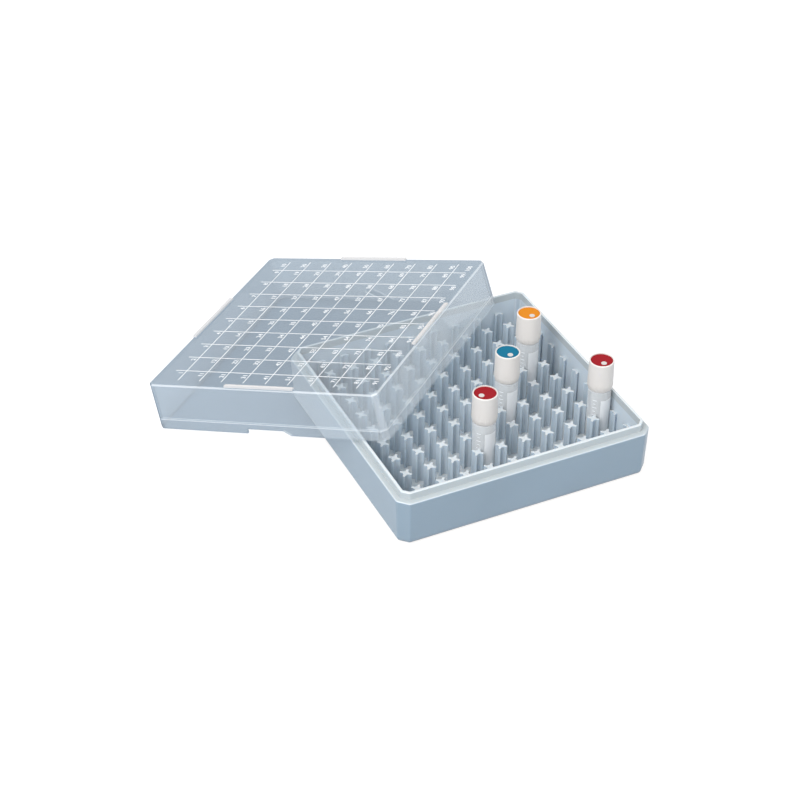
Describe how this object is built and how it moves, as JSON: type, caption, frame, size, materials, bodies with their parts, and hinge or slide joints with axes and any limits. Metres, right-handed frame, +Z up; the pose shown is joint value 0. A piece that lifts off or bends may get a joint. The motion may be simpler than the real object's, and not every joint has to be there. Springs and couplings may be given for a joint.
{
  "type": "cryogenic storage box",
  "caption": "Square moulded box with a grid of star posts that holds small capped vials upright, its clear lid leaning askew on the base's rim.",
  "frame": {"origin": "middle of the base's underside, on the table", "axes": "+X along the base's front edge to the right, +Y to the back, +Z up"},
  "size_m": [0.2017, 0.217, 0.0572],
  "materials": {
    "base_plastic": "pale blue-grey translucent polycarbonate, satin",
    "lid_plastic": "clear polycarbonate with a pale blue-grey tint",
    "tube_plastic": "frosted clear polypropylene",
    "seal_rubber": "translucent silicone",
    "cap_plastic": "white polyethylene, satin",
    "insert_red": "red moulded plastic",
    "insert_blue": "blue moulded plastic",
    "insert_orange": "orange moulded plastic"
  },
  "bodies": {
    "box": {"base": "base_plastic", "lid": "lid_plastic", "vial_1_tube": "tube_plastic", "vial_2_tube": "tube_plastic", "vial_3_tube": "tube_plastic", "vial_4_tube": "tube_plastic"},
    "vial_1_seal": {"vial_1_seal": "seal_rubber"},
    "vial_1_cap": {"vial_1_cap": "cap_plastic", "vial_1_insert": "insert_red"},
    "vial_2_seal": {"vial_2_seal": "seal_rubber"},
    "vial_2_cap": {"vial_2_cap": "cap_plastic", "vial_2_insert": "insert_red"},
    "vial_3_seal": {"vial_3_seal": "seal_rubber"},
    "vial_3_cap": {"vial_3_cap": "cap_plastic", "vial_3_insert": "insert_blue"},
    "vial_4_seal": {"vial_4_seal": "seal_rubber"},
    "vial_4_cap": {"vial_4_cap": "cap_plastic", "vial_4_insert": "insert_orange"}
  },
  "joints": [
    {"name": "vial_1_cap_rise", "type": "slide", "parent": "box", "child": "vial_1_seal", "axis": [0, 0, 1], "range_m": [0, 0.004]},
    {"name": "vial_1_cap_turn", "type": "hinge", "parent": "vial_1_seal", "child": "vial_1_cap", "pos_m": [-0.00622, -0.03112, 0.044], "axis": [0, 0, 1], "range_deg": [0, 450]},
    {"name": "vial_2_cap_rise", "type": "slide", "parent": "box", "child": "vial_2_seal", "axis": [0, 0, 1], "range_m": [0, 0.004]},
    {"name": "vial_2_cap_turn", "type": "hinge", "parent": "vial_2_seal", "child": "vial_2_cap", "pos_m": [0.05602, -0.03112, 0.044], "axis": [0, 0, 1], "range_deg": [0, 450]},
    {"name": "vial_3_cap_rise", "type": "slide", "parent": "box", "child": "vial_3_seal", "axis": [0, 0, 1], "range_m": [0, 0.004]},
    {"name": "vial_3_cap_turn", "type": "hinge", "parent": "vial_3_seal", "child": "vial_3_cap", "pos_m": [0.01868, -0.00622, 0.044], "axis": [0, 0, 1], "range_deg": [0, 450]},
    {"name": "vial_4_cap_rise", "type": "slide", "parent": "box", "child": "vial_4_seal", "axis": [0, 0, 1], "range_m": [0, 0.004]},
    {"name": "vial_4_cap_turn", "type": "hinge", "parent": "vial_4_seal", "child": "vial_4_cap", "pos_m": [0.04358, 0.01868, 0.044], "axis": [0, 0, 1], "range_deg": [0, 450]}
  ],
  "couplings": [
    {"joint": "vial_1_cap_turn", "follows": "vial_1_cap_rise", "rad_per_m": 1963},
    {"joint": "vial_2_cap_turn", "follows": "vial_2_cap_rise", "rad_per_m": 1963},
    {"joint": "vial_3_cap_turn", "follows": "vial_3_cap_rise", "rad_per_m": 1963},
    {"joint": "vial_4_cap_turn", "follows": "vial_4_cap_rise", "rad_per_m": 1963}
  ]
}
